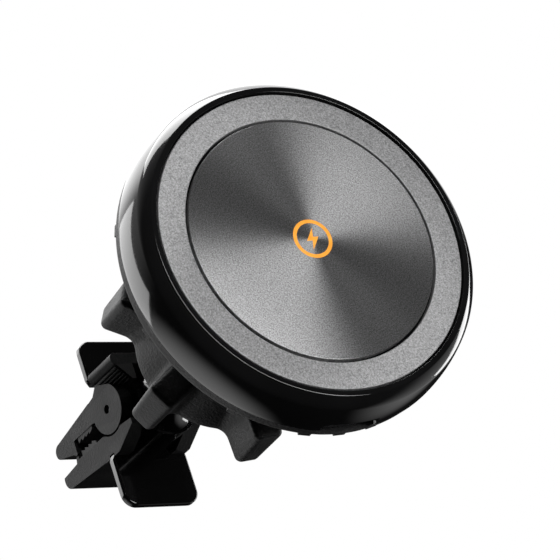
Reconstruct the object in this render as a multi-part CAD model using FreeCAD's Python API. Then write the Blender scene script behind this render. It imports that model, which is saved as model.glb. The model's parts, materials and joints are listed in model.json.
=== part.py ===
# Magnetic wireless-charging phone holder for a car's air vent.
# A round charging head sits on a ball joint that a six-lobed nut locks, and a sprung clip
# with an upper and a lower support wing grips one horizontal vent fin.
#
# Frame: +Z up, +Y from the driver into the vent, +X to the driver's right. The origin is the
# middle of the fin slot between the jaws. Millimetres.
#
# The head is drawn in a frame of its own, with the face centre at its origin and depth along
# +Y, and the clip in one with the ball centre at its origin. place_head and place_clip move
# them into the part's frame.
import FreeCAD, Part

import math
import os

os.makedirs("parts", exist_ok=True)

V = FreeCAD.Vector
AXIS_X = V(1, 0, 0)
AXIS_Y = V(0, 1, 0)
AXIS_Z = V(0, 0, 1)

# ---------------------------------------------------------------- driving dimensions
# the part's frame
BALL_Y = -36.0              # ball centre, in front of the fin slot
BALL_Z = 2.0                # and above it
HEAD_PAN_DEG = -10.0        # the stored turn of the head about the ball's upright axis
HEAD_TILT_DEG = 2.3         # and its stored nod, face down

# charging head
HEAD_R = 31.6               # the shell's bore is this less the wall
REAR_R = 32.3               # side wall at the parting line
SHELL_DEPTH = 8.7           # front shell, from the face to the parting line
HEAD_DEPTH = 11.5           # face to the rear cover's flat back
WALL = 1.6
SHOULDER_START = 29.7       # where the flat lip around the face turns over
SHOULDER_R = 31.5           # where the shoulder runs out into the side wall
SHOULDER_DEPTH = 2.15
SHOULDER_BOW = 0.21
WALL_BOW = 0.23             # how far the side wall bellies out between its ends
LIP_R = 28.8                # inner edge of the lip
FACE_FLOOR = 1.4            # depth of the web that carries the face parts
WEB = 1.2
DISC_R = 22.9
DISC_FRONT = 0.22           # depth of the disc's front behind the lip
BADGE_R = 3.7
BADGE_LINE = 0.7
BADGE_DEPTH = 0.2
RING_IN = 23.4
RING_OUT = 28.4
RING_FRONT = 0.3
PARTING_GAP = 0.15
THROUGH = 40.0              # long enough to cut through anything

# magnets, coil and board
MAGNET_IN = 23.6
MAGNET_OUT = 27.6
MAGNET_DEPTH = 2.4
MAGNET_COUNT = 18
MAGNET_GAP_DEG = 1.2
SHUNT_DEPTH = 0.5
COIL_IN = 9.0
COIL_OUT = 20.6
COIL_DEPTH = 1.4
COIL_TURNS = 10
FERRITE_R = 21.6
FERRITE_DEPTH = 0.6
BOARD_R = 21.0
BOARD_DEPTH = 0.8
BOARD_FRONT = 5.85
BOARD_TAB_HALF = 7.0        # the tab that carries the inlet
BOARD_TAB_END = 28.6

# power inlet
USB_W = 8.94
USB_H = 3.2
USB_LENGTH = 7.3
TONGUE_W = 6.7              # the inlet's contact blade
TONGUE_T = 0.7
SLOT_W = 11.0
SLOT_H = 4.1
SLOT_CUT = 4.2
INLET_INSET = 1.5           # inlet mouth, behind the outside of the wall

# screws that hold the rear cover
POST_AT = 27.7              # radius on which they sit
POST_R = 2.4
POST_FRONT = 6.0
COVER_SCREW_R = 0.8
COVER_HEAD_R = 1.6
COVER_SEAT = HEAD_DEPTH - 0.65

# feet around the back edge of the rear cover
NUB_ANGLES = list(range(18, 378, 36)) + [258, 282]
NUB_HALF = 1.1
NUB_RISE = 0.45

# ball joint
BALL_R = 7.5
FACE_TO_BALL = 42.5
CAVITY_R = 9.15
SEAT_IN = 7.6
SEAT_OUT = 9.05
SEAT_EDGE_DEG = 46.0        # half angle of the friction seat, from the front
COLLET_FRONT = -1.9         # axial, from the ball centre
COLLET_REAR = 3.1
COLLET_TAPER = 0.75
COLLET_SLITS = 6
SLIT_W = 0.8
NECK_R = 3.8

# rear cover's boss
BOSS_R = 12.5
BOSS_FLOOR = 30.0           # solid end of the neck, in front of the ball cavity
NECK_FOOT_R = 24.5          # where the neck runs out into the flat back
THREAD_R = 10.4
THREAD_FRONT = 33.6
BOSS_END = 44.6
BOSS_CONE_END = 24.0

# lock nut
NUT_FRONT = 35.2
NUT_REAR = 46.2
NUT_BORE = 10.65
NUT_CORE_FRONT = 12.9
NUT_CORE_REAR = 14.9
NUT_LIP_R = 8.35
LOBES = 6
LOBE_R = 21.4
LOBE_W_FRONT = 5.8
LOBE_W_REAR = 4.9
LOBE_PHASE_DEG = 33.0

# clip: s is the distance behind the ball centre
HUB_HALF = 5.0
HUB_R = 7.5
HUB_FRONT = 19.5
HUB_TOP_FRONT = 2.0
HUB_TOP = 3.2
HUB_STEP = 23.3
SPINE_END = 30.0
HALF_W = 8.0                # half width of jaws and cheeks
CHEEK_IN = 5.3
CHEEK_FRONT = 20.0
PIVOT_S = 26.0
PIVOT_Z = 1.3
PIVOT_DISC_R = 4.7
PIN_R = 0.8
PIN_RUN = 0.05
PIN_INSET = 0.6
CHEEK_GAP = 0.4

WING_S = 27.9
WING_T = 1.4
WING_HALF = 8.4
UPPER_WING_TIP = 16.9
LOWER_WING_TIP = 17.5
WING_CORNER = 2.6
UPPER_WING_ROOT = 7.6
LOWER_WING_ROOT = 6.8
UPPER_TONGUE_END = 2.0
LOWER_TONGUE_END = 5.0
TONGUE_HALF = 4.6
SLOT_PLAY = 0.06

CAVITY_TOP = 1.1
CAVITY_BOTTOM = -2.6
CAVITY_END = 38.5
JAW_SPLIT = -1.8
JAW_GAP = 0.3
JAW_END = 44.6
JAW_ROOT = 31.0
JAW_BOTTOM = -7.4
LIPS_START = 39.2           # the lips that lead the fin in
LIPS_FLARE = 39.6

PAD_START = 32.0
PAD_INSET = 0.1
TOOTH_PITCH = 1.3
TOOTH_COUNT = 4
TOOTH_H = 1.1

LEVER_FRONT = 19.2
LEVER_REAR = 27.3
LEVER_TOP = 9.5
LEVER_FLANK_TOP = 7.0
LEVER_FLANK_LOW = 4.2
LEVER_CHANNEL = 4.4
LEVER_ROOF = 7.3
RAIL_R = 1.25
RIB_COUNT = 6
RIB_R = 0.36

SCREW_X = 2.9
SCREW_Z = -0.8
SCREW_R = 0.9
SCREW_HEAD_R = 1.5
SCREW_HEAD_T = 0.9

SPRING_WIRE_R = 0.22
SPRING_R = 1.25
SPRING_TURNS = 5
SPRING_BAY_HALF = 1.9


# ---------------------------------------------------------------- helpers
def place_head(shape):
    """From the head's own frame into the part's frame."""
    moved = shape.copy()
    moved.translate(V(0, -FACE_TO_BALL, 0))
    moved.rotate(V(0, 0, 0), AXIS_X, HEAD_TILT_DEG)
    moved.rotate(V(0, 0, 0), AXIS_Z, HEAD_PAN_DEG)
    moved.translate(V(0, BALL_Y, BALL_Z))
    return moved


def place_clip(shape):
    """From the clip's own frame into the part's frame."""
    moved = shape.copy()
    moved.translate(V(0, BALL_Y, BALL_Z))
    return moved


def save(shape, node):
    shape.exportStep("parts/" + node + ".step")


def outline(plane, *steps):
    """A closed face. A step is a point, or (point on the arc, end point)."""
    edges = []
    start = plane(*steps[0])
    here = start
    for step in list(steps[1:]) + [steps[0]]:
        if isinstance(step[0], tuple):
            through = plane(*step[0])
            end = plane(*step[1])
            edges.append(Part.Arc(here, through, end).toShape())
        else:
            end = plane(*step)
            if here.distanceToPoint(end) < 1e-6:
                continue
            edges.append(Part.LineSegment(here, end).toShape())
        here = end
    return Part.Face(Part.Wire(edges))


def section(r, d):
    return V(r, d, 0)


def side(s, z):
    return V(0, s, z)


def front(x, z):
    return V(x, 0, z)


def lathe(*steps):
    """A solid of revolution about Y from (radius, depth) steps."""
    return outline(section, *steps).revolve(V(0, 0, 0), AXIS_Y, 360)


def bowed(start, end, bow):
    """An arc step from start to end that bows outwards and forwards."""
    run = end[0] - start[0]
    rise = end[1] - start[1]
    length = math.hypot(run, rise)
    middle = ((start[0] + end[0]) / 2 + bow * rise / length, (start[1] + end[1]) / 2 - bow * run / length)
    return middle, end


def slab(x0, x1, *steps):
    """A solid between two X planes from (s, z) steps."""
    face = outline(side, *steps)
    face.translate(V(x0, 0, 0))
    return face.extrude(V(x1 - x0, 0, 0))


def column(s0, s1, *steps):
    """A solid between two Y planes from (x, z) steps."""
    face = outline(front, *steps)
    face.translate(V(0, s0, 0))
    return face.extrude(V(0, s1 - s0, 0))


def box(x0, x1, y0, y1, z0, z1):
    return Part.makeBox(x1 - x0, y1 - y0, z1 - z0, V(x0, y0, z0))


def rod(radius, length, at, along):
    return Part.makeCylinder(radius, length, at, along)


def ball(radius, at):
    return Part.makeSphere(radius, at)


def arc_point(radius, degrees):
    angle = math.radians(degrees)
    return radius * math.sin(angle), -radius * math.cos(angle)


def rounded_slot(width, height, length, at, along_z):
    """A stadium prism along Z, with its width along X and its height along Y."""
    half = width / 2 - height / 2
    core = box(at.x - half, at.x + half, at.y - height / 2, at.y + height / 2, at.z, at.z + along_z * length)
    left = rod(height / 2, length, V(at.x - half, at.y, at.z), AXIS_Z)
    right = rod(height / 2, length, V(at.x + half, at.y, at.z), AXIS_Z)
    return core.fuse([left, right]).removeSplitter()


def soften(shape, radius, wanted):
    """Round the edges that the test picks."""
    edges = [e for e in shape.Edges if wanted(e)]
    return shape.makeFillet(radius, edges)


# ---------------------------------------------------------------- charging head
def usb_depth():
    return BOARD_FRONT + BOARD_DEPTH + USB_H / 2


def usb_slot():
    """The opening for the plug, through the wall at the bottom of the head."""
    return rounded_slot(SLOT_W, SLOT_H, SLOT_CUT, V(0, usb_depth(), -REAR_R - 1), 1)


def front_shell():
    inner = HEAD_R - WALL
    lip = (SHOULDER_START, 0)
    shoulder = (SHOULDER_R, SHOULDER_DEPTH)
    wall_end = (REAR_R, SHELL_DEPTH - 0.15)
    body = lathe(
        (0, FACE_FLOOR), (LIP_R, FACE_FLOOR), (LIP_R, 0.12), (LIP_R + 0.12, 0), lip,
        bowed(lip, shoulder, SHOULDER_BOW), bowed(shoulder, wall_end, WALL_BOW), (REAR_R - 0.15, SHELL_DEPTH),
        (inner, SHELL_DEPTH), (inner, FACE_FLOOR + WEB), (0, FACE_FLOOR + WEB))
    for x, z in cover_screw_sites():
        body = body.fuse(rod(POST_R, SHELL_DEPTH - POST_FRONT, V(x, POST_FRONT, z), AXIS_Y))
        body = body.cut(rod(COVER_SCREW_R, SHELL_DEPTH, V(x, POST_FRONT + 0.6, z), AXIS_Y))
    return body.cut(usb_slot()).removeSplitter()


def face_ring():
    edge = 0.15
    return lathe(
        (RING_IN, FACE_FLOOR), (RING_IN, RING_FRONT + edge), (RING_IN + edge, RING_FRONT),
        (RING_OUT - edge, RING_FRONT), (RING_OUT, RING_FRONT + edge), (RING_OUT, FACE_FLOOR))


def face_disc():
    edge = 0.12
    disc = lathe((0, FACE_FLOOR), (0, DISC_FRONT), (DISC_R - edge, DISC_FRONT), (DISC_R, DISC_FRONT + edge),
                 (DISC_R, FACE_FLOOR))
    return disc.cut(face_badge().Solids)


def face_badge():
    """A plain ring with a charging bolt in it, inlaid flush with the disc."""
    start = V(0, DISC_FRONT, 0)
    ring = rod(BADGE_R, BADGE_DEPTH, start, AXIS_Y).cut(rod(BADGE_R - BADGE_LINE, BADGE_DEPTH, start, AXIS_Y))
    bolt = column(DISC_FRONT, DISC_FRONT + BADGE_DEPTH, (0.5, 2.1), (-1.25, -0.35), (-0.15, -0.35), (-0.5, -2.1),
                  (1.25, 0.35), (0.15, 0.35))
    return Part.makeCompound([ring, bolt])


def magnet_ring():
    front_at = FACE_FLOOR + WEB + 0.05
    pitch = 360.0 / MAGNET_COUNT
    whole = rod(MAGNET_OUT, MAGNET_DEPTH, V(0, front_at, 0), AXIS_Y)
    whole = whole.cut(rod(MAGNET_IN, MAGNET_DEPTH, V(0, front_at, 0), AXIS_Y))
    magnets = []
    for index in range(MAGNET_COUNT):
        wedge = Part.makeCylinder(HEAD_R, MAGNET_DEPTH, V(0, front_at, 0), AXIS_Y, pitch - MAGNET_GAP_DEG)
        wedge.rotate(V(0, 0, 0), AXIS_Y, index * pitch)
        magnets.append(whole.common(wedge))
    return Part.makeCompound(magnets)


def shunt_ring():
    at = FACE_FLOOR + WEB + 0.1 + MAGNET_DEPTH
    plate = rod(MAGNET_OUT + 0.2, SHUNT_DEPTH, V(0, at, 0), AXIS_Y)
    return plate.cut(rod(MAGNET_IN - 0.2, SHUNT_DEPTH, V(0, at, 0), AXIS_Y))


def charging_coil():
    at = FACE_FLOOR + WEB + 0.1
    coil = rod(COIL_OUT, COIL_DEPTH, V(0, at, 0), AXIS_Y).cut(rod(COIL_IN, COIL_DEPTH, V(0, at, 0), AXIS_Y))
    pitch = (COIL_OUT - COIL_IN) / COIL_TURNS
    grooves = []
    for turn in range(1, COIL_TURNS):
        radius = COIL_IN + turn * pitch
        groove = rod(radius + 0.1, 0.5, V(0, at, 0), AXIS_Y).cut(rod(radius - 0.1, 0.5, V(0, at, 0), AXIS_Y))
        grooves.append(groove)
    return coil.cut(grooves)


def ferrite_disc():
    return rod(FERRITE_R, FERRITE_DEPTH, V(0, FACE_FLOOR + WEB + 0.15 + COIL_DEPTH, 0), AXIS_Y)


def circuit_board():
    disc = rod(BOARD_R, BOARD_DEPTH, V(0, BOARD_FRONT, 0), AXIS_Y)
    tab = box(-BOARD_TAB_HALF, BOARD_TAB_HALF, BOARD_FRONT, BOARD_FRONT + BOARD_DEPTH, -BOARD_TAB_END, -BOARD_R / 2)
    return disc.fuse(tab).removeSplitter()


def board_chips():
    back = BOARD_FRONT + BOARD_DEPTH
    control = box(-3.5, 3.5, back, back + 1.0, 2, 9)
    driver = box(-9.5, -5.5, back, back + 1.0, -8, -3)
    inductor = box(5, 10, back, back + 2.6, -9, -4)
    caps = [box(x, x + 1.6, back, back + 0.8, 12, 12.9) for x in (-9, -4.5, 0, 4.5)]
    return Part.makeCompound([control, driver, inductor] + caps)


def usb_port():
    """The inlet's metal shell, open at the bottom of the head."""
    at = V(0, usb_depth(), -REAR_R + INLET_INSET)
    shell = rounded_slot(USB_W, USB_H - 0.1, USB_LENGTH, at, 1)
    bore = rounded_slot(USB_W - 0.6, USB_H - 0.7, USB_LENGTH - 1.2, at, 1)
    return shell.cut(bore)


def usb_tongue():
    """The inlet's contact blade, standing free inside the metal shell."""
    start = -REAR_R + INLET_INSET + 0.8
    end = -REAR_R + INLET_INSET + USB_LENGTH - 1.2
    return box(-TONGUE_W / 2, TONGUE_W / 2, usb_depth() - TONGUE_T / 2, usb_depth() + TONGUE_T / 2, start, end)


def vent_nubs():
    """Small raised feet around the back edge of the rear cover."""
    nubs = []
    top = HEAD_DEPTH + NUB_RISE
    for angle in NUB_ANGLES:
        nub = box(-NUB_HALF, NUB_HALF, HEAD_DEPTH - 1.2, top, REAR_R - 1.9, REAR_R - 0.5)
        nub = soften(nub, 0.3, lambda e: abs(e.BoundBox.Center.y - top) < 0.01)
        nub.rotate(V(0, 0, 0), AXIS_Y, 90 - angle)
        nubs.append(nub)
    return nubs


def cover_screw_sites():
    return [(POST_AT * math.cos(math.radians(a)), POST_AT * math.sin(math.radians(a))) for a in (45, 135, 225, 315)]


def rear_cover():
    """The back of the head, its neck, and the threaded boss with the ball cavity."""
    rim = REAR_R - 0.25
    inner = HEAD_R - WALL - 0.2
    floor = HEAD_DEPTH - 1.25
    body = lathe(
        (0, BOSS_FLOOR), (0, BOSS_END), (THREAD_R - 0.4, BOSS_END), (THREAD_R, BOSS_END - 0.4),
        (THREAD_R, THREAD_FRONT), (BOSS_R - 0.4, THREAD_FRONT), (BOSS_R, THREAD_FRONT - 0.4), (BOSS_R, BOSS_CONE_END),
        ((BOSS_R + 2.3, HEAD_DEPTH + 5.2), (NECK_FOOT_R, HEAD_DEPTH)), (rim - 1.3, HEAD_DEPTH),
        ((rim - 0.38, HEAD_DEPTH - 0.38), (rim, HEAD_DEPTH - 1.3)), (rim, SHELL_DEPTH + PARTING_GAP),
        (inner, SHELL_DEPTH + PARTING_GAP), (inner, floor), (NECK_FOOT_R - 1.9, floor),
        ((BOSS_R + 0.1, HEAD_DEPTH + 4.6), (BOSS_R - 2.4, BOSS_CONE_END)), (BOSS_R - 2.4, BOSS_FLOOR))
    centre = V(0, FACE_TO_BALL, 0)
    bore = rod(CAVITY_R, BOSS_END, V(0, FACE_TO_BALL + COLLET_FRONT - 0.25, 0), AXIS_Y)
    body = body.cut([ball(CAVITY_R, centre), bore, usb_slot()])
    body = body.fuse(vent_nubs())
    for x, z in cover_screw_sites():
        body = body.cut(rod(COVER_SCREW_R, 6, V(x, HEAD_DEPTH - 3, z), AXIS_Y))
        body = body.cut(rod(COVER_HEAD_R + 0.2, 6, V(x, COVER_SEAT, z), AXIS_Y))
    return body.removeSplitter()


def screw(at, along, length, radius, head_r, head_t):
    """A pan-head screw. at is under the head and along points away from the tip."""
    shank = rod(radius, length, at - along * length, along)
    head = rod(head_r, head_t, at, along)
    cross = [box(-0.25, 0.25, 0, 0.5, -1, 1), box(-1, 1, 0, 0.5, -0.25, 0.25)]
    solid = shank.fuse(head)
    for bar in cross:
        bar.translate(at + along * (head_t - 0.45))
        solid = solid.cut(bar)
    return solid.removeSplitter()


def cover_screws():
    length = COVER_SEAT - POST_FRONT - 0.8
    return Part.makeCompound([screw(V(x, COVER_SEAT, z), AXIS_Y, length, COVER_SCREW_R, COVER_HEAD_R, 0.6)
                              for x, z in cover_screw_sites()])


# ---------------------------------------------------------------- ball joint
def ball_seat():
    """The friction cup in front of the ball."""
    in_edge = arc_point(SEAT_IN, SEAT_EDGE_DEG)
    in_mid = arc_point(SEAT_IN, SEAT_EDGE_DEG / 2)
    out_edge = arc_point(SEAT_OUT, SEAT_EDGE_DEG)
    out_mid = arc_point(SEAT_OUT, SEAT_EDGE_DEG / 2)
    cup = lathe((0, -SEAT_IN), (in_mid, in_edge), out_edge, (out_mid, (0, -SEAT_OUT)))
    cup.translate(V(0, FACE_TO_BALL, 0))
    return cup


def socket_collet():
    """The slit ring that the nut squeezes onto the ball."""
    outer = CAVITY_R - 0.1
    ring = rod(outer, COLLET_REAR - COLLET_FRONT - 1.2, V(0, COLLET_FRONT, 0), AXIS_Y)
    taper = Part.makeCone(outer, outer - COLLET_TAPER, 1.2, V(0, COLLET_REAR - 1.2, 0), AXIS_Y)
    ring = ring.fuse(taper).cut(ball(BALL_R + 0.1, V(0, 0, 0)))
    for index in range(COLLET_SLITS):
        slit = box(-SLIT_W / 2, SLIT_W / 2, COLLET_FRONT + 1.4, COLLET_REAR + 1, 3, CAVITY_R + 1)
        slit.rotate(V(0, 0, 0), AXIS_Y, index * 360.0 / COLLET_SLITS)
        ring = ring.cut(slit)
    ring.translate(V(0, FACE_TO_BALL, 0))
    return ring


def nut_lobe():
    """One grip lobe, standing along +X, narrower at the back."""
    length = NUT_REAR - NUT_FRONT
    faces = []
    for depth, width in ((0, LOBE_W_FRONT), (length, LOBE_W_REAR)):
        half = width / 2
        wire = Part.makePolygon([V(0, depth, -half), V(LOBE_R, depth, -half), V(LOBE_R, depth, half),
                                 V(0, depth, half), V(0, depth, -half)])
        faces.append(wire)
    lobe = Part.makeLoft(faces, True, True)
    lobe.translate(V(0, NUT_FRONT, 0))
    return lobe


def lock_nut():
    """The six-lobed nut over the boss; its conical mouth closes the collet."""
    length = NUT_REAR - NUT_FRONT
    body = Part.makeCone(NUT_CORE_FRONT, NUT_CORE_REAR, length, V(0, NUT_FRONT, 0), AXIS_Y)
    for index in range(LOBES):
        lobe = nut_lobe()
        lobe.rotate(V(0, 0, 0), AXIS_Y, -(LOBE_PHASE_DEG + index * 360.0 / LOBES))
        body = body.fuse(lobe)
    body = body.removeSplitter()

    def saddle_corner(edge):
        spans = edge.BoundBox.YLength > length * 0.9
        middle = edge.valueAt((edge.FirstParameter + edge.LastParameter) / 2)
        return spans and math.hypot(middle.x, middle.z) < NUT_CORE_REAR + 1.5

    def lobe_rim(edge):
        middle = edge.valueAt((edge.FirstParameter + edge.LastParameter) / 2)
        return math.hypot(middle.x, middle.z) > LOBE_R - 0.9

    body = soften(body, 2.2, saddle_corner)
    body = soften(body, 0.8, lobe_rim)
    mouth = lathe((0, NUT_FRONT - 1), (NUT_BORE + 1.1, NUT_FRONT - 1), (NUT_BORE, NUT_FRONT + 0.6),
                  (NUT_BORE, BOSS_END + 0.1), (CAVITY_R + 0.25, BOSS_END + 0.1), (NUT_LIP_R, NUT_REAR - 0.3),
                  (NUT_LIP_R, NUT_REAR + 1), (0, NUT_REAR + 1))
    return body.cut(mouth)


def ball_stem():
    """Ball, neck, and a flat-sided foot that sits in the clip's hub."""
    foot_r = HUB_R - 0.6
    neck_from = math.sqrt(BALL_R ** 2 - NECK_R ** 2) - 0.3
    stem = lathe((0, neck_from), (NECK_R, neck_from), (NECK_R, 13.5),
                 ((NECK_R + 1.0, 17.6), (foot_r, HUB_FRONT + 0.2)), (foot_r, HUB_FRONT + 2.5), (0, HUB_FRONT + 2.5))
    flat = HUB_HALF - 0.8
    keep = box(-flat, flat, 0, THROUGH, -foot_r - 1, NECK_R + 1)
    stem = stem.common(keep)
    trim = box(-foot_r, foot_r, HUB_FRONT - 1.6, THROUGH, HUB_TOP_FRONT - 0.5, foot_r)
    stem = stem.cut(trim).fuse(ball(BALL_R, V(0, 0, 0)))
    for x in (-SCREW_X, SCREW_X):
        stem = stem.cut(rod(SCREW_R, 6, V(x, HUB_FRONT + 0.9, SCREW_Z), AXIS_Y))
    return stem.removeSplitter()


# ---------------------------------------------------------------- vent clip
def pivot_rod(radius, half):
    return rod(radius, 2 * half, V(-half, PIVOT_S, PIVOT_Z), AXIS_X)


def hub():
    """The flat-sided round cup that carries the stem, and the spine behind it."""
    cup = rod(HUB_R, HUB_STEP - HUB_FRONT, V(0, HUB_FRONT, 0), AXIS_Y)
    cup = cup.common(box(-HUB_HALF, HUB_HALF, 0, THROUGH, -THROUGH, HUB_TOP_FRONT))
    spine = rod(HUB_R, SPINE_END - HUB_STEP, V(0, HUB_STEP, 0), AXIS_Y)
    spine = spine.common(box(-HUB_HALF, HUB_HALF, 0, THROUGH, -THROUGH, HUB_TOP))
    pocket = rod(HUB_R - 0.5, 2.6, V(0, HUB_FRONT, 0), AXIS_Y)
    pocket = pocket.common(box(-HUB_HALF + 0.7, HUB_HALF - 0.7, 0, THROUGH, -THROUGH, THROUGH))
    return cup.fuse(spine).cut(pocket)


def cheek(x0, x1):
    """A side of the lower jaw: it cradles the pivot disc of the upper jaw."""
    plate = slab(x0, x1, (CHEEK_FRONT, -3.6), (CHEEK_FRONT, -4.6), (PIVOT_S, JAW_BOTTOM), (JAW_ROOT, JAW_BOTTOM),
                 (JAW_ROOT, CAVITY_BOTTOM))
    return plate.cut(pivot_rod(PIVOT_DISC_R + CHEEK_GAP, THROUGH))


def clip_body():
    """Hub, cheeks and lower jaw in one moulding."""
    top = JAW_SPLIT - JAW_GAP / 2
    jaw = slab(-HALF_W, HALF_W, (SPINE_END - 0.5, JAW_BOTTOM), (JAW_END - 1.2, JAW_BOTTOM + 1.0),
               ((JAW_END - 0.2, JAW_BOTTOM + 1.8), (JAW_END, JAW_BOTTOM + 3.8)), (LIPS_FLARE, -3.1),
               (LIPS_START, top), (CAVITY_END, top), (CAVITY_END, CAVITY_BOTTOM), (SPINE_END - 0.5, CAVITY_BOTTOM))
    body = hub().fuse([cheek(-HALF_W, -HUB_HALF + 0.2), cheek(HUB_HALF - 0.2, HALF_W), jaw])
    half = TONGUE_HALF + SLOT_PLAY
    ahead = WING_S - SLOT_PLAY
    behind = WING_S + WING_T + SLOT_PLAY
    upper_slot = box(-half, half, ahead, behind, -UPPER_TONGUE_END, THROUGH)
    lower_slot = box(-half, half, ahead, behind, -THROUGH, -LOWER_TONGUE_END + SLOT_PLAY)
    wing_seat = box(-THROUGH, THROUGH, ahead, behind, -THROUGH, -LOWER_WING_ROOT + SLOT_PLAY)
    spring_bay = box(-SPRING_BAY_HALF, SPRING_BAY_HALF, PIVOT_S - 2.4, WING_S - 0.2, PIVOT_Z - 2.4, THROUGH)
    cuts = [upper_slot, lower_slot, wing_seat, spring_bay, pivot_rod(PIN_R, THROUGH)]
    for x in (-SCREW_X, SCREW_X):
        cuts.append(rod(SCREW_R, THROUGH, V(x, 0, SCREW_Z), AXIS_Y))
    return body.cut(cuts).removeSplitter()


def wing(root, tip, tongue_to):
    """A support plate with rounded tip corners and a tongue at its root. Up is positive."""
    r = WING_CORNER
    k = r * (1 - math.sqrt(0.5))
    w = WING_HALF
    plate = column(WING_S, WING_S + WING_T, (-w + 0.6, root), (w - 0.6, root), (w, root + 1.2), (w, tip - r),
                   ((w - k, tip - k), (w - r, tip)), (-w + r, tip), ((-w + k, tip - k), (-w, tip - r)),
                   (-w, root + 1.2))
    tongue = box(-TONGUE_HALF, TONGUE_HALF, WING_S, WING_S + WING_T, tongue_to, root + 1)
    plate = plate.fuse(tongue).removeSplitter()

    def front_rim(edge):
        return edge.BoundBox.YMax < WING_S + 0.01 and edge.BoundBox.ZMin > root + 0.5

    return soften(plate, 0.5, front_rim)


def upper_wing():
    plate = wing(UPPER_WING_ROOT, UPPER_WING_TIP, -UPPER_TONGUE_END + SLOT_PLAY)
    for x in (-SCREW_X, SCREW_X):
        plate = plate.cut(rod(SCREW_R, THROUGH, V(x, 0, SCREW_Z), AXIS_Y))
    return plate


def lower_wing():
    plate = wing(LOWER_WING_ROOT, LOWER_WING_TIP, LOWER_TONGUE_END)
    plate.rotate(V(0, 0, 0), AXIS_Y, 180)
    return plate


def lever_ribs():
    """Grip ribs along the lever's two sloping flanks."""
    ribs = []
    length = LEVER_REAR - LEVER_FRONT - 0.8
    for turn in (-1, 1):
        for index in range(RIB_COUNT):
            t = (index + 0.5) / RIB_COUNT
            x = turn * (HALF_W + (CHEEK_IN - HALF_W) * t)
            z = LEVER_FLANK_TOP + (LEVER_FLANK_LOW - LEVER_FLANK_TOP) * t
            ribs.append(rod(RIB_R, length, V(x, LEVER_FRONT + 0.4, z), AXIS_Y))
    return ribs


def thumb_lever():
    """The part of the upper jaw in front of the pivot that a thumb presses."""
    top = LEVER_TOP - 0.8
    block = column(LEVER_FRONT, LEVER_REAR, (-HALF_W, LEVER_FLANK_TOP), (-HALF_W, top), (-HALF_W + 0.8, LEVER_TOP),
                   (HALF_W - 0.8, LEVER_TOP), (HALF_W, top), (HALF_W, LEVER_FLANK_TOP), (CHEEK_IN, LEVER_FLANK_LOW),
                   (LEVER_CHANNEL, LEVER_FLANK_LOW), (LEVER_CHANNEL, LEVER_ROOF), (-LEVER_CHANNEL, LEVER_ROOF),
                   (-LEVER_CHANNEL, LEVER_FLANK_LOW), (-CHEEK_IN, LEVER_FLANK_LOW))
    rails = [rod(RAIL_R, LEVER_REAR - LEVER_FRONT, V(turn * (HALF_W - 0.2), LEVER_FRONT, LEVER_TOP - RAIL_R), AXIS_Y)
             for turn in (-1, 1)]
    return block.fuse(rails + lever_ribs())


def jaw_arm(x0, x1):
    """A side plate of the upper jaw, from its pivot disc to the jaw block."""
    plate = slab(x0, x1, (PIVOT_S - 3.2, LEVER_FLANK_LOW + 0.6), (PIVOT_S + 1.3, LEVER_FLANK_TOP), (29.1, 5.4),
                 (32.0, 4.8), (31.2, CAVITY_TOP), (PIVOT_S, -1.0))
    return plate.fuse(rod(PIVOT_DISC_R, x1 - x0, V(x0, PIVOT_S, PIVOT_Z), AXIS_X))


def upper_jaw():
    """Lever, two pivot arms and the sprung jaw in one moulding."""
    bottom = JAW_SPLIT + JAW_GAP / 2
    jaw = slab(-HALF_W, HALF_W, (JAW_ROOT, 5.1), (JAW_END - 1.2, 3.0), ((JAW_END + 0.3, 1.9), (JAW_END - 0.3, 0.2)),
               (LIPS_FLARE, -1.2), (LIPS_START, bottom), (CAVITY_END, bottom), (CAVITY_END, CAVITY_TOP),
               (JAW_ROOT, CAVITY_TOP))
    body = thumb_lever().fuse([jaw_arm(-HALF_W, -CHEEK_IN), jaw_arm(CHEEK_IN, HALF_W), jaw])
    return body.cut(pivot_rod(PIN_R + PIN_RUN, THROUGH)).removeSplitter()


def toothed_pad(z_root, z_tip):
    """A rubber strip with saw teeth across the fin."""
    steps = [(PAD_START, z_root), (PAD_START + TOOTH_COUNT * TOOTH_PITCH, z_root)]
    for index in range(TOOTH_COUNT, 0, -1):
        steps.append((PAD_START + index * TOOTH_PITCH, z_tip))
        steps.append((PAD_START + (index - 1) * TOOTH_PITCH + 0.15, z_tip - (z_tip - z_root) * 0.45))
    return slab(-HALF_W + PAD_INSET, HALF_W - PAD_INSET, *steps)


def upper_pad():
    return toothed_pad(CAVITY_TOP, CAVITY_TOP - TOOTH_H)


def lower_pad():
    return toothed_pad(CAVITY_BOTTOM, CAVITY_BOTTOM + TOOTH_H)


def pivot_pin():
    return pivot_rod(PIN_R, HALF_W - PIN_INSET)


def torsion_spring():
    """Close-wound turns around the pin, with a leg at each end."""
    places = [(index - (SPRING_TURNS - 1) / 2) * (2 * SPRING_WIRE_R + 0.05) for index in range(SPRING_TURNS)]
    turns = [Part.makeTorus(SPRING_R, SPRING_WIRE_R, V(x, PIVOT_S, PIVOT_Z), AXIS_X) for x in places]
    rear_leg = rod(SPRING_WIRE_R, 1.8, V(places[0], PIVOT_S + SPRING_R, PIVOT_Z), -AXIS_Z)
    front_leg = rod(SPRING_WIRE_R, 5.2, V(places[-1], PIVOT_S - SPRING_R, PIVOT_Z), AXIS_Z)
    return Part.makeCompound([rear_leg.fuse(turns[0])] + turns[1:-1] + [front_leg.fuse(turns[-1])])


def clip_screws():
    """Two screws from inside the jaws through spine and wing tongue into the stem's foot."""
    length = SPINE_END - HUB_FRONT - 1.2
    return Part.makeCompound([screw(V(x, SPINE_END, SCREW_Z), AXIS_Y, length, SCREW_R, SCREW_HEAD_R, SCREW_HEAD_T)
                              for x in (-SCREW_X, SCREW_X)])


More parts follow.
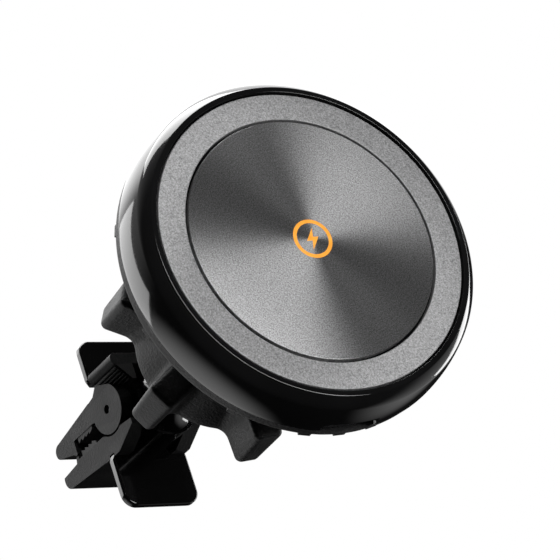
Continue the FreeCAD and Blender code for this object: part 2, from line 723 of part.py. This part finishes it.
HEAD_PARTS = {
    "front_shell": front_shell, "face_ring": face_ring, "face_disc": face_disc, "face_badge": face_badge,
    "magnet_ring": magnet_ring, "shunt_ring": shunt_ring, "charging_coil": charging_coil,
    "ferrite_disc": ferrite_disc, "circuit_board": circuit_board, "board_chips": board_chips,
    "usb_port": usb_port, "usb_tongue": usb_tongue, "rear_cover": rear_cover, "cover_screws": cover_screws,
    "ball_seat": ball_seat, "socket_collet": socket_collet, "lock_nut": lock_nut,
}
CLIP_PARTS = {
    "ball_stem": ball_stem, "clip_body": clip_body, "upper_wing": upper_wing, "lower_wing": lower_wing,
    "upper_jaw": upper_jaw, "upper_pad": upper_pad, "lower_pad": lower_pad, "pivot_pin": pivot_pin,
    "torsion_spring": torsion_spring, "clip_screws": clip_screws,
}

for node, make in HEAD_PARTS.items():
    save(place_head(make()), node)
for node, make in CLIP_PARTS.items():
    save(place_clip(make()), node)
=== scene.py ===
import json
import math

import bmesh
import bpy
from mathutils import Matrix, Vector


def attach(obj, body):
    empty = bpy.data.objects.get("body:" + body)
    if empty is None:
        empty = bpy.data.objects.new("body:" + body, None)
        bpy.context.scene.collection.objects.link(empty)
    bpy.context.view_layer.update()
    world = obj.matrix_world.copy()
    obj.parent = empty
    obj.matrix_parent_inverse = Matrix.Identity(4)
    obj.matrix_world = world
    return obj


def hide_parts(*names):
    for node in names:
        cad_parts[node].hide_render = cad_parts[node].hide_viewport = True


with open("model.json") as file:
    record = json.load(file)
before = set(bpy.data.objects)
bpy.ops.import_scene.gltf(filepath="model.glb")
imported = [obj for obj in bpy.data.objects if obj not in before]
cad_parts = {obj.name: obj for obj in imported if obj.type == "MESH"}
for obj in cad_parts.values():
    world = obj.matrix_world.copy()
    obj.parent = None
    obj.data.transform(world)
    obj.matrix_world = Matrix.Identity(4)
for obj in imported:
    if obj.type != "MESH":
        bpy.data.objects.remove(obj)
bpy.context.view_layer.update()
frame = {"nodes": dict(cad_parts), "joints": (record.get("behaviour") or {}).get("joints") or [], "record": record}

# ------------------------------------------------------------------ sizes in mm, where meshes are in metres
MM = 0.001
FACE_TO_BALL = 42.5
HEAD_R = 31.6
REAR_R = 32.3
WALL = 1.6
SHELL_DEPTH = 8.7
LIP_R = 28.8
LIP_END_R = 29.7               # where the flat lip turns into the shoulder
CORNER_LEAN_DEG = 50
SHOULDER_R = 31.5              # where the shoulder turns into the side wall
SHOULDER_DEPTH = 2.15
WALL_LEAN_DEG = 15
REAR_CHAMFER = 0.15
FACE_FLOOR = 1.4
WEB = 1.2
RING_IN = 23.4
RING_OUT = 28.4
RING_FRONT = 0.3
DISC_R = 22.9
DISC_FRONT = 0.22
UNDER_PRINT = 0.012            # the disc lies this far under the badge's print
USB_DEPTH = 8.25
SLOT_W = 11.0
SLOT_H = 4.1
NUT_FRONT = 35.2
NUT_REAR = 46.2
NUT_BORE = 10.65
NUT_LIP_R = 8.35
NUT_ROLL = 0.9                 # radius of the nut's rolled edges
BOSS_END = 44.7
CORE_FRONT = 12.9
CORE_REAR = 14.9
LOBES = 6
LOBE_R = 21.4
LOBE_HALF_FRONT = 2.9
LOBE_HALF_REAR = 2.45
LOBE_PHASE_DEG = 33
LOBE_CORNER = 1.25
LOBE_FILLET = 2.4
HUB_HALF = 5
HUB_END = 27.5
HUB_MARGIN = 0.15
SEGMENTS = 256                 # around every turned piece
MOULD_EDGE_DEG = 28            # edges sharper than this are rolled over

JOINTS = {joint["name"]: joint for joint in frame["joints"]}
BALL = Vector(JOINTS["head_spin"]["pos_m"])
HEAD_AXIS = Vector(JOINTS["head_spin"]["axis"]).normalized()
HEAD_RIGHT = Vector(JOINTS["head_tilt"]["axis"]).normalized()


def head_matrix():
    """From the head's own frame (face centre at the origin, depth along +Y) to the part's frame."""
    turn = Matrix((HEAD_RIGHT, HEAD_AXIS, HEAD_RIGHT.cross(HEAD_AXIS))).transposed().to_4x4()
    return Matrix.Translation(BALL) @ turn @ Matrix.Translation((0, -FACE_TO_BALL * MM, 0))


HEAD = head_matrix()


# ------------------------------------------------------------------ camera, lights, floor
FLOOR_HALF = 3.0
FLOOR_LEVEL = -0.45
LIGHT_AIM = Vector((0, -0.05, 0))
STUDIO_DARK = 0.012
# direction by (right, up, back) in the camera's first view, degrees of full and of no light, strength
STUDIO_LOBES = (
    ((-0.62, 0.42, -0.66), 20, 60, 0.5),
    ((-0.18, 0.55, -0.82), 24, 42, 2.4),
    ((-0.60, -0.70, -0.40), 0, 34, 1.7),
    ((0.75, -0.45, -0.50), 0, 35, 0.8),
)


def add_camera():
    azimuth, elevation, roll = math.radians(-42.0), math.radians(-23.47), math.radians(-18.96)
    target = Vector((-11.6, -71.0, -4.1)) * MM
    distance = 546 * MM
    back = Vector((math.sin(azimuth) * math.cos(elevation), -math.cos(azimuth) * math.cos(elevation),
                   math.sin(elevation)))
    data = bpy.data.cameras.new("camera")
    data.lens = 205.7
    data.sensor_width = 36
    data.clip_start = 0.01
    data.clip_end = 20
    camera = bpy.data.objects.new("camera", data)
    bpy.context.scene.collection.objects.link(camera)
    level = (-back).to_track_quat("-Z", "Y").to_matrix().to_4x4()
    camera.matrix_world = Matrix.Translation(target + back * distance) @ level @ Matrix.Rotation(roll, 4, "Z")
    bpy.context.scene.camera = camera
    return camera


def add_area(name, towards, across, distance, size, power):
    """A soft light. towards points from the object to the light, and across along its first side."""
    data = bpy.data.lights.new(name, "AREA")
    data.shape = "RECTANGLE"
    data.size, data.size_y = size
    data.energy = power
    light = bpy.data.objects.new(name, data)
    bpy.context.scene.collection.objects.link(light)
    back = towards.normalized()
    side = (across - across.dot(back) * back).normalized()
    turn = Matrix((side, back.cross(side), back)).transposed().to_4x4()
    light.matrix_world = Matrix.Translation(LIGHT_AIM + back * distance) @ turn
    return light


def seen(right, up, back):
    """A direction in the part's frame from one in the camera's first view."""
    return (camera.matrix_world.to_3x3() @ Vector((right, up, back))).normalized()


def build_world():
    """A white sweep for the eye, and a dark studio with soft bright lobes for everything else."""
    world = bpy.data.worlds.new("studio")
    bpy.context.scene.world = world
    world.use_nodes = True
    nodes, links = world.node_tree.nodes, world.node_tree.links
    nodes.clear()
    out = nodes.new("ShaderNodeOutputWorld")
    mix = nodes.new("ShaderNodeMixShader")
    white = nodes.new("ShaderNodeBackground")
    lit = nodes.new("ShaderNodeBackground")
    path = nodes.new("ShaderNodeLightPath")
    coords = nodes.new("ShaderNodeTexCoord")
    white.inputs["Color"].default_value = (1, 1, 1, 1)
    lit.inputs["Color"].default_value = (1, 1, 1, 1)
    total = None
    for direction, full, none, level in STUDIO_LOBES:
        dot = nodes.new("ShaderNodeVectorMath")
        dot.operation = "DOT_PRODUCT"
        dot.inputs[1].default_value = seen(*direction)
        lobe = nodes.new("ShaderNodeMapRange")
        lobe.interpolation_type = "SMOOTHSTEP"
        lobe.inputs["From Min"].default_value = math.cos(math.radians(none))
        lobe.inputs["From Max"].default_value = math.cos(math.radians(full))
        lobe.inputs["To Max"].default_value = level
        add = nodes.new("ShaderNodeMath")
        add.inputs[1].default_value = STUDIO_DARK
        links.new(coords.outputs["Generated"], dot.inputs[0])
        links.new(dot.outputs["Value"], lobe.inputs["Value"])
        links.new(lobe.outputs["Result"], add.inputs[0])
        if total is not None:
            links.new(total, add.inputs[1])
        total = add.outputs[0]
    links.new(total, lit.inputs["Strength"])
    links.new(path.outputs["Is Camera Ray"], mix.inputs["Fac"])
    links.new(lit.outputs["Background"], mix.inputs[1])
    links.new(white.outputs["Background"], mix.inputs[2])
    links.new(mix.outputs["Shader"], out.inputs["Surface"])


def add_floor():
    """A pale floor far below, because the object hangs on a vent fin."""
    mesh = bpy.data.meshes.new("floor")
    corners = [(x * FLOOR_HALF, y * FLOOR_HALF, FLOOR_LEVEL) for x, y in ((-1, -1), (1, -1), (1, 1), (-1, 1))]
    mesh.from_pydata(corners, [], [(0, 1, 2, 3)])
    floor = bpy.data.objects.new("floor", mesh)
    bpy.context.scene.collection.objects.link(floor)
    material, tree = new_material("floor_paint")
    tree.bsdf.inputs["Roughness"].default_value = 0.9
    tree.colour_mix((0.80, 0.80, 0.80), (0.84, 0.84, 0.84), tree.noise(12, 2))
    mesh.materials.append(material)
    floor.visible_glossy = False
    floor.visible_diffuse = False


# ------------------------------------------------------------------ mesh helpers
def rounded(points, radius, steps):
    """The open profile with every inner corner turned into a small arc."""
    path = [points[0]]
    for before, corner, after in zip(points, points[1:], points[2:]):
        corner = Vector(corner)
        back, ahead = Vector(before) - corner, Vector(after) - corner
        reach = min(radius, back.length * 0.45, ahead.length * 0.45)
        if back.angle(ahead) > math.radians(176):
            path.append(tuple(corner))
            continue
        a, b = corner + back.normalized() * reach, corner + ahead.normalized() * reach
        for step in range(steps + 1):
            t = step / steps
            path.append(tuple(a * (1 - t) ** 2 + corner * 2 * t * (1 - t) + b * t ** 2))
    return path + [points[-1]]


def swept(start, lean, end, end_lean, steps):
    """A curve in (radius, depth) whose outward normal leans forward by lean first and end_lean last."""
    one, two = (Vector((math.sin(math.radians(a)), math.cos(math.radians(a)))) for a in (lean, end_lean))
    start, end = Vector(start), Vector(end)
    reach = (end - start).cross(two) / one.cross(two)
    bend = start + one * reach
    curve = []
    for step in range(steps + 1):
        t = step / steps
        curve.append(tuple(start * (1 - t) ** 2 + bend * 2 * t * (1 - t) + end * t ** 2))
    return curve


def link(name, bm, place=HEAD, own_frame=False, sharp=50):
    """An object from a bmesh, shaded smooth except along edges sharper than that many degrees.

    Its mesh is moved into the part's frame, unless own_frame leaves the mesh and moves the object.
    """
    if not own_frame:
        bm.transform(place)
    bmesh.ops.recalc_face_normals(bm, faces=bm.faces)
    for face in bm.faces:
        face.smooth = True
    for edge in bm.edges:
        edge.smooth = edge.calc_face_angle(0) < math.radians(sharp)
    mesh = bpy.data.meshes.new(name)
    bm.to_mesh(mesh)
    bm.free()
    obj = bpy.data.objects.new(name, mesh)
    bpy.context.scene.collection.objects.link(obj)
    if own_frame:
        obj.matrix_world = place
    return obj


def lathe(name, profile, closed=False, own_frame=False):
    """A turned piece about the head's axis from (radius, depth) points in mm."""
    bm = bmesh.new()
    rings = []
    for radius, depth in profile:
        if radius < 1e-4:
            rings.append([bm.verts.new((0, depth * MM, 0))])
            continue
        angles = [2 * math.pi * i / SEGMENTS for i in range(SEGMENTS)]
        rings.append([bm.verts.new((radius * MM * math.cos(a), depth * MM, radius * MM * math.sin(a)))
                      for a in angles])
    pairs = list(zip(rings, rings[1:]))
    if closed:
        pairs.append((rings[-1], rings[0]))
    for inner, outer in pairs:
        for i in range(SEGMENTS):
            j = (i + 1) % SEGMENTS
            quad = [inner[i % len(inner)], inner[j % len(inner)], outer[j % len(outer)], outer[i % len(outer)]]
            corners = list(dict.fromkeys(quad))
            if len(corners) > 2:
                bm.faces.new(corners)
    return link(name, bm, own_frame=own_frame)


def stadium(name, width, height, depth, low, high):
    """A rounded-slot prism along the head's Z, centred on that depth."""
    bm = bmesh.new()
    half = (width - height) / 2
    outline = [(half + height / 2 * math.cos(math.radians(a)), height / 2 * math.sin(math.radians(a)))
               for a in range(-90, 91, 10)]
    outline += [(-x, -y) for x, y in outline]
    loops = [[bm.verts.new((x * MM, (depth + y) * MM, z * MM)) for x, y in outline] for z in (low, high)]
    bm.faces.new(loops[0])
    bm.faces.new(reversed(loops[1]))
    for i in range(len(outline)):
        j = (i + 1) % len(outline)
        bm.faces.new((loops[0][i], loops[1][i], loops[1][j], loops[0][j]))
    return link(name, bm)


def bake(obj):
    """The object's modifiers become its mesh."""
    graph = bpy.context.evaluated_depsgraph_get()
    mesh = bpy.data.meshes.new_from_object(obj.evaluated_get(graph))
    obj.modifiers.clear()
    obj.data = mesh


def carve(obj, cutter):
    """Cut one object out of another, and throw the cutter away."""
    cut = obj.modifiers.new("slot", "BOOLEAN")
    cut.operation = "DIFFERENCE"
    cut.solver = "EXACT"
    cut.object = cutter
    bake(obj)
    bpy.data.objects.remove(cutter)


def softened(node, body, slot, width):
    """A copy of a CAD node with its sharp edges rolled over, as a moulding has."""
    bm = bmesh.new()
    bm.from_mesh(frame["nodes"][node].data)
    bmesh.ops.remove_doubles(bm, verts=bm.verts, dist=2e-6)
    bmesh.ops.dissolve_limit(bm, angle_limit=math.radians(0.4), verts=bm.verts, edges=bm.edges)
    edges = [edge for edge in bm.edges if edge.calc_face_angle(0) > math.radians(MOULD_EDGE_DEG)]
    bmesh.ops.bevel(bm, geom=edges, offset=width * MM, segments=3, profile=0.5, affect="EDGES",
                    clamp_overlap=True, loop_slide=True)
    obj = link(node + "_soft", bm, Matrix.Identity(4), sharp=40)
    weigh = obj.modifiers.new("flat faces stay flat", "WEIGHTED_NORMAL")
    weigh.keep_sharp = True
    return finish_piece(obj, body, slot, node)


def polish(body):
    """The cup that carries the stem gets the clip's second, glossy material."""
    for face in body.data.polygons:
        at = face.center - BALL
        if at.y < HUB_END * MM and abs(at.x) < (HUB_HALF + HUB_MARGIN) * MM:
            face.material_index = 1


def finish_piece(obj, body, slot, *nodes):
    """Material and slot, the CAD nodes that it stands in for, and the body that it rides on."""
    obj.data.materials.clear()
    obj.data.materials.append(MATERIALS[slot])
    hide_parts(*nodes)
    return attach(obj, body)


# ------------------------------------------------------------------ pieces
def front_shell():
    """The gloss bezel: lip, rolled shoulder, and a side wall that widens to the parting line."""
    outside = [(LIP_R, FACE_FLOOR), (LIP_R, 0)]
    outside += swept((LIP_END_R, 0), CORNER_LEAN_DEG, (SHOULDER_R, SHOULDER_DEPTH), WALL_LEAN_DEG, 12)
    outside += swept(outside.pop(), WALL_LEAN_DEG, (REAR_R, SHELL_DEPTH - REAR_CHAMFER), 0, 8)
    outside += [(REAR_R - REAR_CHAMFER, SHELL_DEPTH), (HEAD_R - WALL, SHELL_DEPTH)]
    inside = [(HEAD_R - WALL, FACE_FLOOR + WEB), (0, FACE_FLOOR + WEB)]
    shell = lathe("front_shell_gloss", [(0, FACE_FLOOR)] + rounded(outside, 0.09, 3) + inside)
    carve(shell, stadium("slot", SLOT_W, SLOT_H, USB_DEPTH, -REAR_R - 1, -REAR_R + 3.2))
    return finish_piece(shell, "head", "gloss_black", "front_shell")


def face_ring():
    """A flat ring over the magnets, with rolled edges."""
    profile = [(RING_IN, FACE_FLOOR), (RING_IN, RING_FRONT), (RING_OUT, RING_FRONT), (RING_OUT, FACE_FLOOR)]
    ring = lathe("face_ring_grained", rounded(profile, 0.22, 5), closed=True)
    return finish_piece(ring, "head", "soft_grey", "face_ring")


def face_disc():
    """A flat disc with a rolled edge, whose object carries the place so that its own Y is the head's axis."""
    front = DISC_FRONT + UNDER_PRINT
    profile = [(DISC_R * share, front) for share in (0, 0.33, 0.66, 1)]
    profile += [(DISC_R, FACE_FLOOR), (0, FACE_FLOOR)]
    disc = lathe("face_disc_spun", rounded(profile, 0.16, 5), own_frame=True)
    return finish_piece(disc, "head", "spun_grey", "face_disc")


def half_lobe(core, half):
    """Half of one lobe, from its crown to the middle of the saddle: (x, z, normal x, normal z) in mm."""
    steps = []
    for i in range(4):
        steps.append((LOBE_R, (half - LOBE_CORNER) * i / 3, 1, 0))
    for i in range(1, 9):
        a = math.radians(90 * i / 8)
        steps.append((LOBE_R - LOBE_CORNER + LOBE_CORNER * math.cos(a),
                      half - LOBE_CORNER + LOBE_CORNER * math.sin(a), math.cos(a), math.sin(a)))
    reach = math.sqrt((core + LOBE_FILLET) ** 2 - (half + LOBE_FILLET) ** 2)
    for i in range(1, 6):
        t = i / 6
        steps.append(((LOBE_R - LOBE_CORNER) * (1 - t) + reach * t, half, 0, 1))
    lean = math.atan2(half + LOBE_FILLET, reach)
    for i in range(9):
        a = -math.pi / 2 - (math.pi / 2 - lean) * i / 8
        steps.append((reach + LOBE_FILLET * math.cos(a), half + LOBE_FILLET + LOBE_FILLET * math.sin(a),
                      -math.cos(a), -math.sin(a)))
    for i in range(1, 4):
        a = lean + (math.pi / LOBES - lean) * i / 3
        steps.append((core * math.cos(a), core * math.sin(a), math.cos(a), math.sin(a)))
    return steps


def nut_outline(core, half, inset):
    """The nut's outline as (x, z), drawn in by inset."""
    lobe = half_lobe(core, half)
    whole = lobe[:-1] + [(x, -z, nx, -nz) for x, z, nx, nz in reversed(lobe[1:])]
    points = []
    for index in range(LOBES):
        turn = math.radians(LOBE_PHASE_DEG + index * 360 / LOBES)
        c, s = math.cos(turn), math.sin(turn)
        for position, (x, z, nx, nz) in enumerate(whole):
            extra = 2 * math.pi / LOBES if position >= len(lobe) - 1 else 0
            ce, se = math.cos(extra), math.sin(extra)
            x, z = x - nx * inset, z - nz * inset
            x, z = x * ce - z * se, x * se + z * ce
            points.append((x * c - z * s, x * s + z * c))
    return points


def lock_nut():
    """Six tapering grip lobes with rolled edges, saddles between them, and a stepped bore."""
    length = NUT_REAR - NUT_FRONT
    depths = []
    for i in range(6):
        a = math.radians(90 * i / 5)
        depths.append((NUT_ROLL * (1 - math.sin(a)), NUT_ROLL * (1 - math.cos(a))))
    slices = [(d, inset) for inset, d in depths]
    slices += [(NUT_ROLL + (length - 2 * NUT_ROLL) * i / 6, 0) for i in range(1, 6)]
    slices += [(length - d, inset) for inset, d in reversed(depths)]
    bm = bmesh.new()
    rings = []
    for depth, inset in slices:
        t = depth / length
        outline = nut_outline(CORE_FRONT + (CORE_REAR - CORE_FRONT) * t,
                              LOBE_HALF_FRONT + (LOBE_HALF_REAR - LOBE_HALF_FRONT) * t, inset)
        rings.append([bm.verts.new((x * MM, (NUT_FRONT + depth) * MM, z * MM)) for x, z in outline])
    bearings = [math.atan2(v.co.z, v.co.x) for v in rings[-1]]
    bore = [(NUT_LIP_R + 0.25, NUT_REAR), (NUT_LIP_R, NUT_REAR - 0.25), (NUT_LIP_R + 0.9, BOSS_END),
            (NUT_BORE, BOSS_END), (NUT_BORE, NUT_FRONT + 0.6), (NUT_BORE + 0.7, NUT_FRONT)]
    for radius, depth in bore:
        rings.append([bm.verts.new((radius * MM * math.cos(a), depth * MM, radius * MM * math.sin(a)))
                      for a in bearings])
    for one, other in zip(rings, rings[1:] + rings[:1]):
        for i in range(len(one)):
            j = (i + 1) % len(one)
            bm.faces.new((one[i], one[j], other[j], other[i]))
    return finish_piece(link("lock_nut_moulded", bm, sharp=60), "nut", "matte_black", "lock_nut")


def mouldings():
    """The clip, its jaw and wings, and the stem, from their CAD nodes."""
    body = softened("clip_body", "clip", "clip_grey", 0.22)
    body.data.materials.append(MATERIALS["wing_black"])
    polish(body)
    softened("upper_jaw", "jaw", "clip_grey", 0.22)
    softened("upper_wing", "clip", "wing_black", 0.16)
    softened("lower_wing", "clip", "wing_black", 0.16)
    softened("ball_stem", "clip", "gloss_black", 0.25)


# ------------------------------------------------------------------ materials
class Tree:
    """A material's node tree with the few building blocks that the materials share."""

    def __init__(self, material):
        self.nodes = material.node_tree.nodes
        self.links = material.node_tree.links
        self.bsdf = self.nodes["Principled BSDF"]
        self.coords = self.nodes.new("ShaderNodeTexCoord").outputs["Object"]
        self.height = None

    def noise(self, scale, detail=3, distortion=0.0, coords=None):
        node = self.nodes.new("ShaderNodeTexNoise")
        node.inputs["Scale"].default_value = scale
        node.inputs["Detail"].default_value = detail
        node.inputs["Distortion"].default_value = distortion
        self.links.new(coords or self.coords, node.inputs["Vector"])
        return node.outputs["Fac"]

    def map(self, value, low, high, from_low=0.3, from_high=0.7):
        node = self.nodes.new("ShaderNodeMapRange")
        node.inputs["From Min"].default_value = from_low
        node.inputs["From Max"].default_value = from_high
        node.inputs["To Min"].default_value = low
        node.inputs["To Max"].default_value = high
        self.links.new(value, node.inputs["Value"])
        return node.outputs["Result"]

    def math(self, kind, *values):
        node = self.nodes.new("ShaderNodeMath")
        node.operation = kind
        for socket, value in zip(node.inputs, values):
            if isinstance(value, (int, float)):
                socket.default_value = value
            else:
                self.links.new(value, socket)
        return node.outputs[0]

    def colour_mix(self, dark, light, factor):
        node = self.nodes.new("ShaderNodeMix")
        node.data_type = "RGBA"
        node.inputs["A"].default_value = (*dark, 1)
        node.inputs["B"].default_value = (*light, 1)
        self.links.new(factor, node.inputs["Factor"])
        self.links.new(node.outputs["Result"], self.bsdf.inputs["Base Color"])

    def roughness(self, value):
        self.links.new(value, self.bsdf.inputs["Roughness"])

    def bump(self, height, distance, strength=1.0):
        node = self.nodes.new("ShaderNodeBump")
        node.inputs["Distance"].default_value = distance
        node.inputs["Strength"].default_value = strength
        self.links.new(height, node.inputs["Height"])
        if self.height is not None:
            self.links.new(self.height, node.inputs["Normal"])
        self.height = node.outputs["Normal"]
        self.links.new(self.height, self.bsdf.inputs["Normal"])


def new_material(name):
    material = bpy.data.materials.new(name)
    material.use_nodes = True
    return material, Tree(material)


def edge_wear(tree):
    """0 on flat faces and 1 along sharp outer edges."""
    geometry = tree.nodes.new("ShaderNodeNewGeometry")
    return tree.map(geometry.outputs["Pointiness"], 0, 1, 0.52, 0.62)


def plastic(name, dark, light, rough, grain, depth, specular=0.5):
    """Moulded plastic: spark-eroded grain, cloudy sheen and rubbed edges."""
    material, tree = new_material(name)
    fine = tree.noise(grain, 4)
    cloud = tree.noise(180, 3)
    rubbed = edge_wear(tree)
    mottle = tree.math("ADD", tree.map(cloud, 0, 0.35), tree.map(fine, 0, 0.5))
    tone = tree.math("MAXIMUM", mottle, rubbed)
    tree.colour_mix(dark, light, tone)
    uneven = tree.math("ADD", tree.math("MULTIPLY", fine, 0.5), tree.math("MULTIPLY", cloud, 0.5))
    tree.roughness(tree.map(uneven, rough - 0.07, rough + 0.07))
    tree.bump(fine, depth)
    tree.bsdf.inputs["Specular IOR Level"].default_value = specular
    return material


def gloss_black(name, base=0.003):
    """Piano black: mirror-smooth lacquer with faint swirl scratches and dust haze."""
    material, tree = new_material(name)
    cloud = tree.noise(60, 3)
    swirl = tree.noise(900, 6, 1.5)
    tree.colour_mix((base, base, base), (base * 2, base * 2, base * 2.1), tree.map(cloud, 0, 1))
    tree.roughness(tree.map(swirl, 0.045, 0.12, 0.35, 0.75))
    tree.bump(cloud, 0.00002, 0.3)
    tree.bsdf.inputs["Specular IOR Level"].default_value = 0.5
    return material


def polar_coords(tree):
    """Distance and bearing about the head's axis, for pieces whose own Y is that axis."""
    split = tree.nodes.new("ShaderNodeSeparateXYZ")
    tree.links.new(tree.coords, split.inputs[0])
    squares = [tree.math("POWER", split.outputs[axis], 2) for axis in ("X", "Z")]
    bearing = tree.math("ARCTAN2", split.outputs["Z"], split.outputs["X"])
    return tree.math("SQRT", tree.math("ADD", *squares)), bearing


def brushed(tree, metallic, anisotropic, rotation):
    """Sheen that follows the head's axis: rotation 0.25 for rings and 0 for spokes."""
    tree.bsdf.inputs["Metallic"].default_value = metallic
    tree.bsdf.inputs["Anisotropic"].default_value = anisotropic
    tree.bsdf.inputs["Anisotropic Rotation"].default_value = rotation
    tangent = tree.nodes.new("ShaderNodeTangent")
    tangent.direction_type = "RADIAL"
    tangent.axis = "Y"
    tree.links.new(tangent.outputs[0], tree.bsdf.inputs["Tangent"])


def spun_metal(name):
    """Dark lacquered metal with circular brush lines, so the sheen fans out from the centre."""
    material, tree = new_material(name)
    radius, angle = polar_coords(tree)
    polar = tree.nodes.new("ShaderNodeCombineXYZ")
    tree.links.new(tree.math("MULTIPLY", radius, 26000), polar.inputs["X"])
    tree.links.new(tree.math("MULTIPLY", angle, 9), polar.inputs["Y"])
    lines = tree.noise(1, 3, 0, polar.outputs[0])
    grain = tree.noise(4300, 3)
    mottle = tree.math("ADD", tree.math("MULTIPLY", lines, 0.35), tree.math("MULTIPLY", grain, 0.65))
    tree.colour_mix((0.13, 0.13, 0.131), (0.38, 0.38, 0.383), tree.map(mottle, 0, 1, 0.38, 0.62))
    tree.roughness(tree.map(grain, 0.34, 0.46))
    tree.bump(grain, 0.000012, 0.5)
    brushed(tree, 0.9, 0.88, 0.25)
    return material


def grained_ring(name):
    """Blasted ring with a fine, slightly sparkling grain and a faint cross-brushed sheen."""
    material, tree = new_material(name)
    fine = tree.noise(5200, 3)
    coarse = tree.noise(3100, 3)
    grain = tree.math("ADD", tree.math("MULTIPLY", fine, 0.45), tree.math("MULTIPLY", coarse, 0.55))
    tree.colour_mix((0.125, 0.125, 0.127), (0.37, 0.37, 0.373), tree.map(grain, 0, 1, 0.36, 0.64))
    tree.roughness(tree.map(fine, 0.42, 0.58))
    tree.bump(coarse, 0.00003, 0.6)
    brushed(tree, 0.22, 0.7, 0.0)
    return material


def metal(name, dark, light, rough):
    """Bare metal with fine scratches."""
    material, tree = new_material(name)
    tree.bsdf.inputs["Metallic"].default_value = 1.0
    tree.colour_mix(dark, light, tree.map(tree.noise(700, 3), 0, 1))
    tree.roughness(tree.map(tree.noise(2500, 3), rough - 0.08, rough + 0.08))
    tree.bump(tree.noise(3000, 2), 0.00001, 0.4)
    return material


def print_ink(name):
    """Orange pad print."""
    material, tree = new_material(name)
    tree.colour_mix((0.80, 0.30, 0.02), (0.90, 0.37, 0.04), tree.map(tree.noise(900, 3), 0, 1))
    tree.roughness(tree.map(tree.noise(3000, 3), 0.38, 0.52))
    tree.bump(tree.noise(4000, 2), 0.00001, 0.4)
    return material


def make_materials():
    dark_grey = (0.006, 0.006, 0.0062)
    clip_light, nut_light = (0.026, 0.026, 0.0265), (0.036, 0.036, 0.037)
    return {
        "gloss_black": gloss_black("gloss_black"),
        "spun_grey": spun_metal("spun_grey"),
        "soft_grey": grained_ring("soft_grey"),
        "orange_print": print_ink("orange_print"),
        "magnet": metal("magnet", (0.55, 0.55, 0.57), (0.66, 0.66, 0.68), 0.22),
        "steel": metal("steel", (0.30, 0.30, 0.31), (0.42, 0.42, 0.43), 0.30),
        "copper": metal("copper", (0.60, 0.26, 0.12), (0.75, 0.36, 0.18), 0.35),
        "ferrite": plastic("ferrite", (0.05, 0.05, 0.055), (0.09, 0.09, 0.10), 0.6, 2600, 0.00002),
        "board": plastic("board", (0.01, 0.11, 0.04), (0.02, 0.17, 0.07), 0.35, 1800, 0.00001),
        "chips": plastic("chips", (0.02, 0.02, 0.02), (0.05, 0.05, 0.05), 0.5, 3200, 0.00001),
        "matte_black": plastic("matte_black", dark_grey, nut_light, 0.50, 2300, 0.00013, 0.25),
        "clip_grey": plastic("clip_grey", dark_grey, clip_light, 0.40, 2600, 0.00006, 0.12),
        "wing_black": gloss_black("wing_black", 0.004),
        "nylon": plastic("nylon", (0.55, 0.54, 0.50), (0.70, 0.69, 0.65), 0.5, 1500, 0.00001),
        "pad": plastic("pad", (0.012, 0.012, 0.012), (0.03, 0.03, 0.03), 0.65, 3800, 0.00003),
    }


def dress_cad(materials):
    """Every CAD node gets its slot's material."""
    for entry in frame["record"]["subparts"]:
        obj = frame["nodes"][entry["node"]]
        obj.data.materials.clear()
        obj.data.materials.append(materials[entry["material_slot"]])


# ------------------------------------------------------------------ making
camera = add_camera()
build_world()
add_floor()
sheen_side = seen(0.745, -0.664, 0)
add_area("key", -HEAD_AXIS + 0.17 * sheen_side, sheen_side, 0.9, (1.3, 0.30), 15)
add_area("top", seen(-0.30, 0.85, -0.42), seen(1, 0.3, 0), 0.8, (0.75, 0.45), 8)
add_area("left", seen(-0.85, -0.03, -0.43), seen(-0.18, -0.49, 0.39), 0.8, (0.62, 0.28), 1.9)
add_area("rim", seen(0.80, 0.05, -0.60), seen(0, 0, 1), 0.8, (0.2, 0.7), 3)
MATERIALS = make_materials()
dress_cad(MATERIALS)
front_shell()
face_ring()
face_disc()
lock_nut()
mouldings()
bpy.context.scene.view_settings.view_transform = "Standard"
